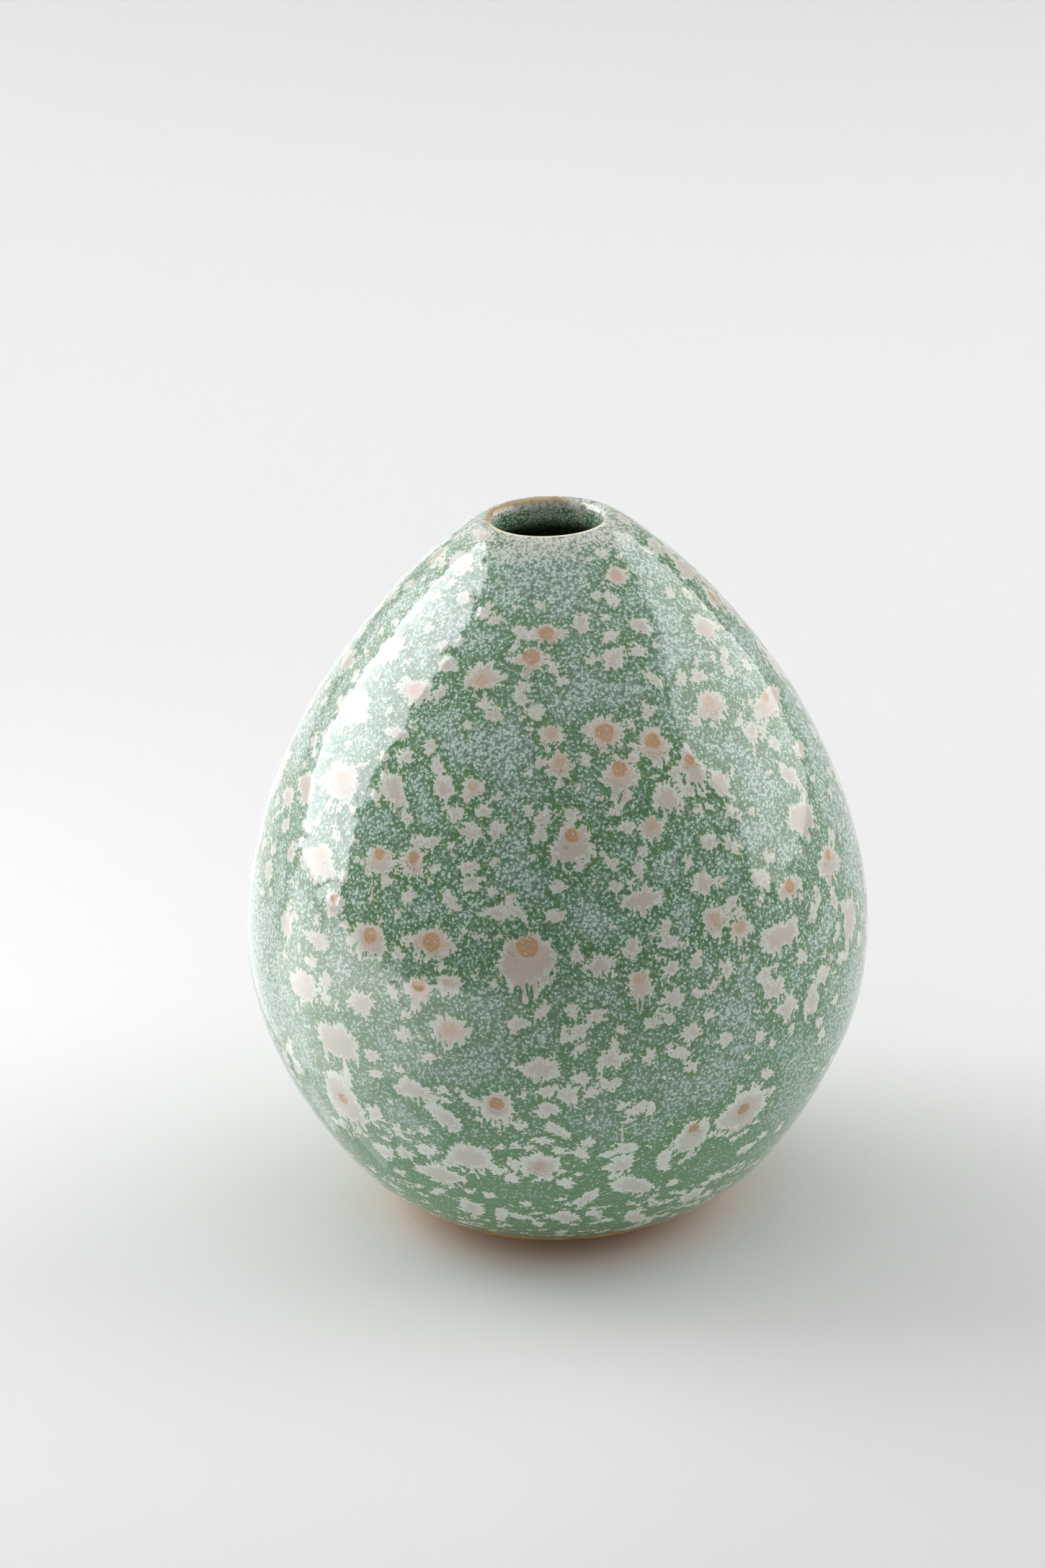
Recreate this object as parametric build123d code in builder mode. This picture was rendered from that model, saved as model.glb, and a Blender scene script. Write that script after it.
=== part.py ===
from build123d import *
import os

# Egg-shaped ceramic bud vase, in millimetres.
# The origin is at the centre of the foot, on the plane the vase stands on, and +Z is the
# turning axis, towards the mouth.
#
# The vase is one thrown and trimmed clay shell that carries three fired glaze coats:
#   clay_body    the stoneware shell, with its bare foot ring and recessed base
#   outer_glaze  the thick reactive coat, from the glaze line near the foot up to the shoulder
#   lip_glaze    the thin coat where the glaze breaks over the lip
#   liner_glaze  the coat inside the throat and the chamber
# The coats meet the clay and each other face to face, so neighbours share their curves.

# ---------------------------------------------------------------- driving dimensions
OUTER_GLAZE_T = 0.50      # thickness of the outer coat
LIP_GLAZE_T = 0.30        # the coat is thin where it breaks over the lip
LINER_GLAZE_T = 0.35      # thickness of the inside coat
WALL_T = 4.00             # full wall, from the outer glaze face to the liner glaze face

THROAT_R = 8.20           # finished radius of the throat
THROAT_TOP_Z = 109.30     # where the lip's rounding meets the straight throat
THROAT_LOW_Z = 107.60     # where the throat opens out into the chamber

FOOT_OUT_R = 18.00        # the foot ring's flat runs between these two radii
FOOT_IN_R = 14.50
FOOT_EDGE = 0.40          # softened outer edge of the foot ring
RECESS_R = 13.90          # the base inside the foot ring is turned out
RECESS_Z = 1.30
RECESS_CENTRE_Z = 1.70    # and slightly domed
FLOOR_Z = 6.00            # finished floor of the chamber at the axis

# Finished outer surface, radius and height, from the glaze line up to the shoulder.
WALL = [
    (24.83, 2.55), (30.22, 5.87), (34.66, 10.42), (38.30, 15.64), (41.50, 21.14),
    (44.28, 26.88), (46.38, 32.88), (47.59, 39.13), (47.89, 45.49), (47.41, 51.84),
    (46.26, 58.10), (44.56, 64.23), (42.37, 70.21), (39.76, 76.02), (36.72, 81.62),
    (33.27, 86.97), (29.52, 92.12), (25.49, 97.05), (21.14, 101.69), (16.41, 105.98),
    (13.60, 108.42), (11.40, 109.98),
]

# Finished lip, from the shoulder over the crest and down into the throat.
LIP = [
    (11.40, 109.98), (10.35, 110.52), (9.40, 110.75), (8.70, 110.58), (8.33, 110.05),
    (THROAT_R, THROAT_TOP_Z),
]


def inset(curve, depth, count, skip_first=False):
    """Points a given depth behind the face that lies to the right of the curve's travel."""
    points = []
    for i in range(1 if skip_first else 0, count):
        t = i / (count - 1)
        p = curve.position_at(t)
        d = curve.tangent_at(t)
        points.append((p.X - depth * d.Y, p.Y + depth * d.X))
    return points


def ends(curve):
    """Directions of travel at the two ends of a curve."""
    a = curve.tangent_at(0)
    b = curve.tangent_at(1)
    return [(a.X, a.Y), (b.X, b.Y)]


# ---------------------------------------------------------------- shared curves
foot_dir = (0.895, 0.446)
shoulder_dir = (-0.860, 0.510)
wall_face = Spline(*WALL, tangents=[foot_dir, shoulder_dir], tangent_scalars=[1, 1])
lip_face = Spline(*LIP, tangents=[shoulder_dir, (0, -1)], tangent_scalars=[1, 1])

# the chamber's finished face runs parallel to the outside, then turns in to the floor
inner_wall = inset(wall_face, WALL_T, 25)[2:24]
inner_wall.reverse()
chamber_face = Spline(
    (THROAT_R, THROAT_LOW_Z),
    *inner_wall,
    (21.0, 6.55),
    (13.0, 6.10),
    (0.0, FLOOR_Z),
    tangents=[(0, -1), (-1, 0)],
    tangent_scalars=[0.6, 1],
)

wall_clay = inset(wall_face, OUTER_GLAZE_T, 31)
lip_clay = inset(lip_face, LIP_GLAZE_T, 9)
chamber_clay = inset(chamber_face, LINER_GLAZE_T, 41)

wall_dirs = ends(wall_face)
lip_dirs = ends(lip_face)
chamber_dirs = ends(chamber_face)

# the outer coat and the liner both feather out to the thin lip coat at the joints
lip_clay[0] = wall_clay[-1]
lip_clay[-1] = (THROAT_R + LINER_GLAZE_T, THROAT_TOP_Z)
chamber_clay[0] = (THROAT_R + LINER_GLAZE_T, THROAT_LOW_Z)
chamber_clay[-1] = (0.0, FLOOR_Z - LINER_GLAZE_T)

# ---------------------------------------------------------------- clay_body
with BuildPart() as clay_body:
    with BuildSketch(Plane.XZ):
        with BuildLine():
            base = Polyline(
                (0, RECESS_CENTRE_Z),
                (RECESS_R, RECESS_Z),
                (FOOT_IN_R, 0),
                (FOOT_OUT_R, 0),
                (FOOT_OUT_R + FOOT_EDGE, FOOT_EDGE),
                wall_clay[0],
            )
            outside = Spline(*wall_clay, tangents=wall_dirs)
            rim = Spline(*lip_clay, tangents=lip_dirs)
            neck = Line(lip_clay[-1], chamber_clay[0])
            inside = Spline(*chamber_clay, tangents=chamber_dirs)
            Line(chamber_clay[-1], (0, RECESS_CENTRE_Z))
        make_face()
    revolve(axis=Axis.Z)
clay_body.part.label = "clay_body"

# ---------------------------------------------------------------- outer_glaze
with BuildPart() as outer_glaze:
    with BuildSketch(Plane.XZ):
        with BuildLine():
            Spline(*WALL, tangents=[foot_dir, shoulder_dir], tangent_scalars=[1, 1])
            Line(WALL[-1], wall_clay[-1])
            Spline(*wall_clay, tangents=wall_dirs)
            Line(wall_clay[0], WALL[0])
        make_face()
    revolve(axis=Axis.Z)
outer_glaze.part.label = "outer_glaze"

# ---------------------------------------------------------------- lip_glaze
with BuildPart() as lip_glaze:
    with BuildSketch(Plane.XZ):
        with BuildLine():
            Spline(*LIP, tangents=[shoulder_dir, (0, -1)], tangent_scalars=[1, 1])
            Line(LIP[-1], lip_clay[-1])
            Spline(*lip_clay, tangents=lip_dirs)
            Line(lip_clay[0], LIP[0])
        make_face()
    revolve(axis=Axis.Z)
lip_glaze.part.label = "lip_glaze"

# ---------------------------------------------------------------- liner_glaze
with BuildPart() as liner_glaze:
    with BuildSketch(Plane.XZ):
        with BuildLine():
            Line(LIP[-1], (THROAT_R, THROAT_LOW_Z))
            Spline(
                (THROAT_R, THROAT_LOW_Z),
                *inner_wall,
                (21.0, 6.55),
                (13.0, 6.10),
                (0.0, FLOOR_Z),
                tangents=[(0, -1), (-1, 0)],
                tangent_scalars=[0.6, 1],
            )
            Line((0.0, FLOOR_Z), chamber_clay[-1])
            Spline(*chamber_clay, tangents=chamber_dirs)
            Line(chamber_clay[0], lip_clay[-1])
            Line(lip_clay[-1], LIP[-1])
        make_face()
    revolve(axis=Axis.Z)
liner_glaze.part.label = "liner_glaze"

# ---------------------------------------------------------------- export
os.makedirs("parts", exist_ok=True)
export_step(clay_body.part, "parts/clay_body.step")
export_step(outer_glaze.part, "parts/outer_glaze.step")
export_step(lip_glaze.part, "parts/lip_glaze.step")
export_step(liner_glaze.part, "parts/liner_glaze.step")
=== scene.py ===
import math

import bpy
import numpy as np
from mathutils import Matrix, Vector


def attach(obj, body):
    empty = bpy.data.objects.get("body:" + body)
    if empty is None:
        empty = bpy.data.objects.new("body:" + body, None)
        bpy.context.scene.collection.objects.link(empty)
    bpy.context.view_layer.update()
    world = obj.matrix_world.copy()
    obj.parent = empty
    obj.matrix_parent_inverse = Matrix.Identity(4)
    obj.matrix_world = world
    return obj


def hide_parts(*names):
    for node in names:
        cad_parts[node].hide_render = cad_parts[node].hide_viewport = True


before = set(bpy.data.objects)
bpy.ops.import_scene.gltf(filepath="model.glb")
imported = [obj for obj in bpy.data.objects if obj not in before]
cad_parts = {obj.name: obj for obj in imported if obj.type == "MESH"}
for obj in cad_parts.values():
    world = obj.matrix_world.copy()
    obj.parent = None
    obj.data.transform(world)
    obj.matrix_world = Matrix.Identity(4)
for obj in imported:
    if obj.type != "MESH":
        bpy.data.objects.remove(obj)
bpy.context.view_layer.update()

# Egg-shaped bud vase: a clay shell with three fired coats. All lengths in this file are millimetres,
# turned into metres where a mesh is written. Angle phi goes round the turning axis from +X to +Y.
MM = 0.001

# ---------------------------------------------------------------- profiles (radius, height)
WALL = [
    (24.83, 2.55), (30.22, 5.87), (34.66, 10.42), (38.30, 15.64), (41.50, 21.14),
    (44.28, 26.88), (46.38, 32.88), (47.59, 39.13), (47.89, 45.49), (47.41, 51.84),
    (46.26, 58.10), (44.56, 64.23), (42.37, 70.21), (39.76, 76.02), (36.72, 81.62),
    (33.27, 86.97), (29.52, 92.12), (25.49, 97.05), (21.14, 101.69), (16.41, 105.98),
    (13.60, 108.42), (11.40, 109.98),
]
LIP = [(11.40, 109.98), (10.35, 110.52), (9.40, 110.75), (8.70, 110.58), (8.33, 110.05), (8.20, 109.30)]
CHAMBER = [
    (8.2, 107.6), (9.67, 105.82), (11.68, 104.53), (13.66, 103.2), (17.14, 99.94), (22.15, 94.82),
    (26.67, 89.27), (30.83, 83.44), (34.56, 77.34), (37.73, 70.92), (40.34, 64.25), (42.32, 57.38),
    (43.57, 50.33), (43.89, 45.57), (43.74, 40.8), (42.47, 33.76), (39.99, 27.06), (36.68, 20.71),
    (32.86, 14.66), (29.82, 10.99), (25.92, 8.27), (21.44, 6.64), (16.7, 6.11), (9.5, 6.09), (0.0, 6.0),
]
FOOT_DIR, SHOULDER_DIR = (0.895, 0.446), (-0.860, 0.510)
OUTER_T, LIP_T, LINER_T = 0.50, 0.30, 0.35


def spline(points, first, last, count):
    """Points and unit tangents at equal arc steps along a clamped cubic through points."""
    p = np.array(points, float)
    h = np.hypot(*np.diff(p, axis=0).T)
    t = np.concatenate([[0.0], np.cumsum(h)])
    m = len(p)
    a, r = np.zeros((m, m)), np.zeros((m, 2))
    a[0, 0] = a[-1, -1] = 1
    r[0] = np.array(first) / np.hypot(*first)
    r[-1] = np.array(last) / np.hypot(*last)
    for i in range(1, m - 1):
        a[i, i - 1], a[i, i], a[i, i + 1] = h[i], 2 * (h[i - 1] + h[i]), h[i - 1]
        r[i] = 3 * (h[i] * (p[i] - p[i - 1]) / h[i - 1] + h[i - 1] * (p[i + 1] - p[i]) / h[i])
    d = np.linalg.solve(a, r)

    def at(tt):
        k = np.clip(np.searchsorted(t, tt, side="right") - 1, 0, m - 2)
        u = ((tt - t[k]) / h[k])[:, None]
        hk = h[k][:, None]
        q = (
            (2 * u**3 - 3 * u**2 + 1) * p[k] + (u**3 - 2 * u**2 + u) * hk * d[k]
            + (-2 * u**3 + 3 * u**2) * p[k + 1] + (u**3 - u**2) * hk * d[k + 1]
        )
        g = (
            (6 * u**2 - 6 * u) * p[k] / hk + (3 * u**2 - 4 * u + 1) * d[k]
            + (-6 * u**2 + 6 * u) * p[k + 1] / hk + (3 * u**2 - 2 * u) * d[k + 1]
        )
        return q, g / np.linalg.norm(g, axis=1)[:, None]

    fine = np.linspace(0, t[-1], 4000)
    q, _ = at(fine)
    arc = np.concatenate([[0.0], np.cumsum(np.hypot(*np.diff(q, axis=0).T))])
    return at(np.interp(np.linspace(0, arc[-1], count), arc, fine))


def face_normals(tangent):
    """The side to the right of the curve's travel: outward for the wall, inward for the chamber."""
    return np.stack([tangent[:, 1], -tangent[:, 0]], axis=1)


WALL_ROWS, LIP_ROWS = 236, 22
COLS = 360
wall_p, wall_t = spline(WALL, FOOT_DIR, SHOULDER_DIR, WALL_ROWS)
wall_n = face_normals(wall_t)
wall_s = np.concatenate([[0.0], np.cumsum(np.hypot(*np.diff(wall_p, axis=0).T))])
lip_p, lip_t = spline(LIP, SHOULDER_DIR, (0, -1), LIP_ROWS)
lip_n = face_normals(lip_t)
lip_n[0] = wall_n[-1]
lip_s = wall_s[-1] + np.concatenate([[0.0], np.cumsum(np.hypot(*np.diff(lip_p, axis=0).T))])
throat_p = np.stack([np.full(4, 8.20), np.linspace(109.30, 107.60, 4)], axis=1)
throat_t = np.tile([0.0, -1.0], (4, 1))
cham_p, cham_t = spline(CHAMBER, (0, -1), (-1, 0), 120)
liner_p = np.concatenate([throat_p, cham_p[1:]])
liner_n = face_normals(np.concatenate([throat_t, cham_t[1:]]))

wall_clay = (wall_p - OUTER_T * wall_n)[np.linspace(0, WALL_ROWS - 1, 24).astype(int)]
lip_clay = (lip_p - LIP_T * lip_n)[np.linspace(0, LIP_ROWS - 1, 9).astype(int)]
lip_clay[0] = wall_clay[-1]
lip_clay[-1] = (8.20 + LINER_T, 109.30)
liner_clay = (liner_p - LINER_T * liner_n)[np.linspace(0, len(liner_p) - 1, 42).astype(int)]
liner_clay[0] = lip_clay[-1]
liner_clay[-1] = (0.0, 6.0 - LINER_T)

# ---------------------------------------------------------------- shared form of the thrown pot
rng = np.random.default_rng(11)


def plane_waves(count, shortest, longest, seed, squash=1.0):
    """Soft irregularity: random plane waves in space, so that it has no seam and no poles."""
    g = np.random.default_rng(seed)
    k = g.normal(size=(count, 3))
    k /= np.linalg.norm(k, axis=1)[:, None]
    k *= (2 * np.pi / g.uniform(shortest, longest, count))[:, None]
    k[:, 2] *= squash
    return k, g.uniform(0, 2 * np.pi, count)


def wave_sum(waves, xyz):
    k, ph = waves
    out = np.zeros(xyz.shape[:-1])
    for kk, pp in zip(k, ph):
        out += np.cos(xyz @ kk + pp)
    return out / math.sqrt(len(ph) / 2)


SLUMP = plane_waves(10, 60, 140, 3)
GLAZE_FLOW = plane_waves(26, 7.5, 19, 4, squash=0.7)
GLAZE_SKIN = plane_waves(22, 3.0, 6.0, 5)


def form(xyz):
    """How far the real, hand-finished surface stands off the turned profile, along its normal."""
    fade = np.clip((112.5 - xyz[..., 2]) / 9.0, 0, 1)
    return 0.07 * wave_sum(SLUMP, xyz) * (0.35 + 0.65 * fade) + 0.030 * wave_sum(GLAZE_FLOW, xyz) * (0.3 + 0.7 * fade)


def ring(points, cols):
    """Grid of xyz for profile points turned about Z."""
    ph = np.linspace(0, 2 * np.pi, cols, endpoint=False)
    r, z = points[:, 0][:, None], points[:, 1][:, None]
    return np.stack([r * np.cos(ph), r * np.sin(ph), z + 0 * ph], axis=-1), ph


def lifted(points, normals, cols, extra=None):
    """The turned grid moved along its normal by form() and by extra, a rows x cols array."""
    xyz, ph = ring(points, cols)
    d = form(xyz)
    if extra is not None:
        d = d + extra
    n = np.stack([
        normals[:, 0][:, None] * np.cos(ph), normals[:, 0][:, None] * np.sin(ph), normals[:, 1][:, None] + 0 * ph,
    ], axis=-1)
    return xyz + d[..., None] * n


def shell(name, rows, cols, creases=(), closed=True):
    """A mesh object from a list of rings (arrays cols x 3, or a single point for a pole). The rings run along the
    section so that the skin's outside is on the right of travel. Closed joins the last ring to the first."""
    verts, start = [], []
    for r in rows:
        start.append(len(verts))
        verts.extend((np.atleast_2d(r) * MM).tolist())
    faces = []
    pairs = [(i, i + 1) for i in range(len(rows) - 1)] + ([(len(rows) - 1, 0)] if closed else [])
    for i, k in pairs:
        a, b = start[i], start[k]
        na, nb = len(np.atleast_2d(rows[i])), len(np.atleast_2d(rows[k]))
        if na == 1 and nb == 1:
            continue
        for j in range(cols):
            j2 = (j + 1) % cols
            if na == 1:
                faces.append((a, b + j2, b + j))
            elif nb == 1:
                faces.append((a + j, a + j2, b))
            else:
                faces.append((a + j, a + j2, b + j2, b + j))
    mesh = bpy.data.meshes.new(name)
    mesh.from_pydata(verts, [], faces)
    mesh.update()
    mesh.polygons.foreach_set("use_smooth", np.ones(len(mesh.polygons), bool))
    if creases:
        at = np.zeros(len(verts), int) - 1
        for c in creases:
            at[start[c]:start[c] + cols] = c
        ev = np.zeros(len(mesh.edges) * 2, np.int32)
        mesh.edges.foreach_get("vertices", ev)
        ev = ev.reshape(-1, 2)
        hard = (at[ev[:, 0]] >= 0) & (at[ev[:, 0]] == at[ev[:, 1]])
        mark = mesh.attributes.new("sharp_edge", "BOOLEAN", "EDGE")
        mark.data.foreach_set("value", hard)
    obj = bpy.data.objects.new(name, mesh)
    bpy.context.scene.collection.objects.link(obj)
    return obj, start

# ---------------------------------------------------------------- crystal blossoms
# Where the pale crystals sit: angle (degrees), height, half width, half height, lean, and the amber seed at the
# middle: its radius (above zero for a strong one, below for a faint one, zero for none) and how far up it sits.
BLOSSOMS = [
    (-148, 110, 3, 1.3, 0, 0, 0), (0, 110, 2, 1.6, 0, 0, 0),
    (-148, 106.5, 3.8, 2.3, 0, -0.9, 0.1), (-7, 106.1, 3.1, 1.9, 0, 0, 0),
    (-54, 105.6, 2.3, 2.1, 0, -1, 0.4), (-131, 103.4, 1.7, 1.4, 0, 0, 0),
    (-118, 102.4, 1.4, 1.7, 0, 0, 0), (-4, 102.1, 3.7, 3, 0, 0, 0), (-32, 102, 1.8, 1.1, 0, 0, 0),
    (-78, 101.3, 1.4, 1.9, 0.1, 0, 0), (-92, 100.1, 3, 2.1, 0, 1.1, 0.4),
    (-55, 99.8, 1.8, 1.7, 0, 0, 0), (-97, 97.1, 2.8, 2.5, 0, 1.3, 0.8),
    (-70, 96.7, 2, 2.3, 0.2, 0, 0), (-28, 96.5, 3, 2.9, 0, 0, 0), (-125, 95.5, 1.9, 1.8, 0, 0, 0),
    (-152, 94.7, 3, 3.3, 0, 0, 0), (-112, 94.6, 3.1, 2.9, 0, -1, -0.2),
    (-59, 93.6, 1.3, 1.8, -0.4, 0, 0), (-28, 92.9, 1.4, 1.6, 0.7, 0, 0),
    (-43, 92.1, 2.1, 1.3, 0, 0, 0), (-133, 91.6, 3.8, 2.6, 0, -1, 0.5),
    (-95, 91, 1.6, 1.5, 0, 0, 0), (-173, 90, 3.3, 2.4, 0, 0, 0), (-91, 88.1, 2, 2.3, 0, -1, 0.7),
    (-77, 88, 3.1, 3.1, 0, 1.4, 0.3), (-44, 88, 3.3, 3.1, 0, -1.1, 1),
    (-153, 86.3, 5.1, 3.6, 0, -1.2, 0.5), (-133, 86.1, 2.5, 1.3, 0, 0, 0),
    (-65, 85.4, 2.6, 3.5, 0, 1.2, 1.1), (-22, 84.6, 6.4, 2.4, 0, 1.1, 1.9),
    (-89, 84.1, 2.1, 2.8, 0, -1, 1.4), (-128, 83.7, 1.9, 1.6, 0, 0, 0),
    (-35, 83.3, 2, 2.2, 0, 0, 0), (-75, 82.2, 3.1, 3.6, 0, 1.2, 1.7),
    (-158, 81.7, 1.7, 1.3, 0, 0, 0), (-57, 81.6, 2.3, 3.7, 0, 0.8, 1.7),
    (-109, 81.2, 2.1, 2.1, 0, -0.8, 0.7), (-116, 80.9, 2, 2.4, -0.3, 0, 0),
    (-29, 80.3, 1.4, 2, -0.4, 0, 0), (-128, 79, 2.6, 3.3, -0.7, 0, 0),
    (-51, 78.8, 2.1, 3, -0.3, 0, 0), (-65, 78.7, 3.1, 2.6, 0, 0, 0),
    (-93, 78, 1.4, 1.6, 0.3, 0, 0), (-145, 77.3, 4.5, 4.2, 0, -1.1, 1.3),
    (-20, 77.3, 2.3, 1.8, 0, 0, 0), (-29, 75.6, 2, 3.2, -0.5, 0, 0),
    (-108, 75.6, 1.7, 2, -0.1, 0, 0), (-51, 75.3, 1.3, 1.6, 0.1, 0, 0),
    (-70, 75.2, 2.4, 2.3, 0, -1, 1.2), (-157, 74.4, 3.4, 2.9, 0, 0, 0),
    (-87, 73.9, 3.4, 4, 0, 1, 2.1), (-58, 72, 1.7, 1.6, 0, 0, 0), (-108, 71.2, 2, 1.3, 0, 0, 0),
    (-164, 71.1, 2.6, 2.4, 0, 0, 0), (-53, 71, 1.3, 1.8, -0.4, 0, 0),
    (-120, 70.4, 2.6, 2.5, 0, 0.9, 1.2), (-151, 70, 2.2, 1, 0, 0, 0),
    (-31, 69.6, 4.4, 3.2, 0, 0, 0), (-128, 69.4, 2.7, 3.1, 0, 0.9, 1.6),
    (-107, 69, 1.7, 1.6, 0, 0, 0), (-160, 68.2, 1.7, 1.4, 0, 0, 0),
    (-61, 66.7, 2.4, 2.1, 0, 0, 0), (-144, 66.3, 5, 3, 0, -1.1, 1.8),
    (-120, 66.1, 1.4, 1.4, 0, 0, 0), (-74, 66, 3.4, 2.4, 0, 0, 0),
    (-154, 65.6, 1.3, 2, -0.1, 0, 0), (-101, 65.3, 1.7, 1.7, 0, 0, 0),
    (-48, 65.1, 2, 2.3, -0.6, 0, 0), (-91, 65, 1.7, 1.1, 0, 0, 0),
    (-137, 62.1, 2.4, 2.3, 0, 0.7, 0.9), (-41, 62, 2.9, 2.2, 0, 1, 0.5),
    (-26, 61.5, 4.1, 3.3, 0, 0.9, 1.6), (-60, 61.1, 2.6, 3, 0, -0.8, 0.9),
    (-114, 60.1, 3.7, 2.8, 0, 1.4, 0.3), (-162, 60.1, 2.5, 2, 0, 0, 0),
    (-70, 59.9, 1.6, 1.4, 0, 0, 0), (-77, 59.6, 1.9, 1.7, 0, 0, 0), (-87, 59.5, 1.1, 2, 0, 0, 0),
    (-55, 59, 2.1, 2.5, 0, -1, 0.8), (-127, 58.4, 3.4, 3.2, 0, 1.2, 1.1),
    (-96, 58, 4.2, 5.5, 0, 1.6, 3), (-83, 57.9, 2.7, 1.9, 0, 0, 0),
    (-36, 57.1, 1.3, 1.5, 0.1, 0, 0), (-65, 56.4, 1.2, 2, 0.2, 0, 0),
    (-28, 56.2, 1.2, 2.4, -0.2, 0, 0), (-70, 56, 1.5, 1.6, 0, 0, 0),
    (-140, 55.9, 2.7, 1.9, 0, 0, 0), (-46, 55.7, 4.2, 2.8, 0, 0, 0),
    (-150, 55.3, 2.2, 2.8, -0.1, 0, 0), (-110, 54.5, 2.4, 1.9, 0, 0, 0),
    (-76, 54.1, 2.2, 3.5, 0, -0.9, 1.4), (-59, 54.1, 1.2, 2.3, -0.1, 0, 0),
    (-116, 52.6, 2.7, 2.9, 0, 1.1, 1.4), (-141, 52.4, 1.8, 1.1, 0, 0, 0),
    (-70, 51.5, 2.1, 1.6, 0, 0, 0), (-23, 51.3, 2.9, 4.3, 0.2, 0, 0),
    (-51, 51.3, 1.7, 1.7, 0, 0, 0), (-84, 50.3, 1.7, 1.7, 0, 0, 0),
    (-137, 50.3, 1.2, 2, 0.2, 0, 0), (-98, 49.3, 1.6, 1.6, 0, 0, 0),
    (-128, 48.9, 2.9, 2.3, 0, 0, 0), (-49, 48.6, 2.3, 2.5, 0, 0, 0),
    (-87, 48.2, 1.7, 1.6, 0, 0, 0), (-143, 47.7, 4.1, 2.8, 0, 0, 0),
    (-110, 47.3, 3.2, 2.9, 0, -1.2, 0.6), (-35, 46.9, 2.3, 1.7, 0, 0, 0),
    (-67, 45.7, 2.1, 1.6, 0, 0, 0), (-119, 45.7, 1.7, 1.4, 0, 0, 0),
    (-46, 44.7, 2.7, 2.3, 0, 0, 0), (-39, 43.6, 2.3, 3, 0.2, 0, 0),
    (-82, 43.4, 2.3, 2.3, 0, 0, 0), (-75, 43.1, 1.3, 1.8, 0, 0, 0), (-69, 43, 1.9, 1.4, 0, 0, 0),
    (-94, 42.3, 3.2, 2.3, 0, 0, 0), (-126, 41, 1.5, 1.6, 0, 0, 0),
    (-134, 40.6, 4.9, 4.1, 0, 0, 0), (-87, 40.6, 1.4, 2, -0.4, 0, 0),
    (-67, 40.6, 1.5, 1.3, 0, 0, 0), (-36, 39.4, 1.2, 1.6, 0, 0, 0),
    (-93, 38.8, 1.5, 1.3, 0, 0, 0), (-89, 37.7, 1.8, 2.4, -0.4, 0, 0),
    (-118, 36.5, 3.4, 2.4, 0, 0, 0), (-93, 35.4, 2.1, 2, 0, 0, 0),
    (-102, 35.1, 2.8, 3.7, 0, 1.1, 1.3), (-77, 34.4, 1.6, 1.8, 0.8, 0, 0),
    (-112, 32.3, 2.6, 3.1, -0.5, 0, 0), (-150, 31.8, 2.1, 2.2, 0, 0, 0),
    (-91, 31.4, 1.7, 2, -0.8, 0, 0), (-128, 29.7, 1.7, 2.8, 0, 0, 0),
    (-94, 29.6, 1.9, 1.3, 0, 0, 0), (-136, 29.3, 4.1, 7, 0, 1, 1.5),
    (-54, 28.2, 5.3, 5.4, 0, 1.1, 1.6), (-78, 26.9, 2.3, 1.4, 0, 0, 0),
    (-87, 26.9, 1.4, 1.7, -0.4, 0, 0), (-65, 26.2, 3, 5.1, 0, 0.9, 2.9),
    (-118, 24.9, 2, 2, 0, 0, 0), (-109, 24.6, 4.1, 4.1, 0, 0, 0),
    (-70, 23.9, 1.5, 2.3, -0.1, 0, 0), (-95, 23.8, 3.6, 3.7, 0, -1, 0.6),
    (-79, 23.5, 2.5, 2.8, 0, 0, 0), (-124, 22.9, 1.9, 2.1, 0, 0, 0),
    (-130, 21.7, 2.3, 2.4, 0, 0, 0), (-101, 21.4, 1.3, 1.5, 0, 0, 0),
    (-90, 20.5, 1.7, 1.4, 0, 0, 0), (-117, 19.7, 4.5, 3, 0, 0, 0), (-48, 19.6, 2.4, 1.3, 0, 0, 0),
    (-75, 18.1, 3.2, 4, -0.6, 0, 0), (-86, 16.3, 1.8, 2.6, 0.5, 0, 0),
    (-113, 12.5, 2.3, 3.5, 0, 0, 0), (-58, 12.1, 2.5, 2.3, 0, 0, 0),
    (-90, 11.8, 2.5, 2.4, 0, 0, 0), (-101, 11.8, 1.5, 1.7, -0.5, 0, 0),
    (-106, 11.4, 1.2, 2.7, 0.2, 0, 0), (-97, 10, 1.2, 1.7, -0.3, 0, 0),
    (-72, 9.7, 1.8, 3.2, -0.5, 0, 0),
]


def soft(x, lo, hi):
    t = np.clip((x - lo) / (hi - lo), 0, 1)
    return t * t * (3 - 2 * t)


def arc_of(z):
    return float(np.interp(z, wall_p[:, 1], wall_s))


def radius_at(s):
    return np.interp(s, wall_s, wall_p[:, 0])


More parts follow.
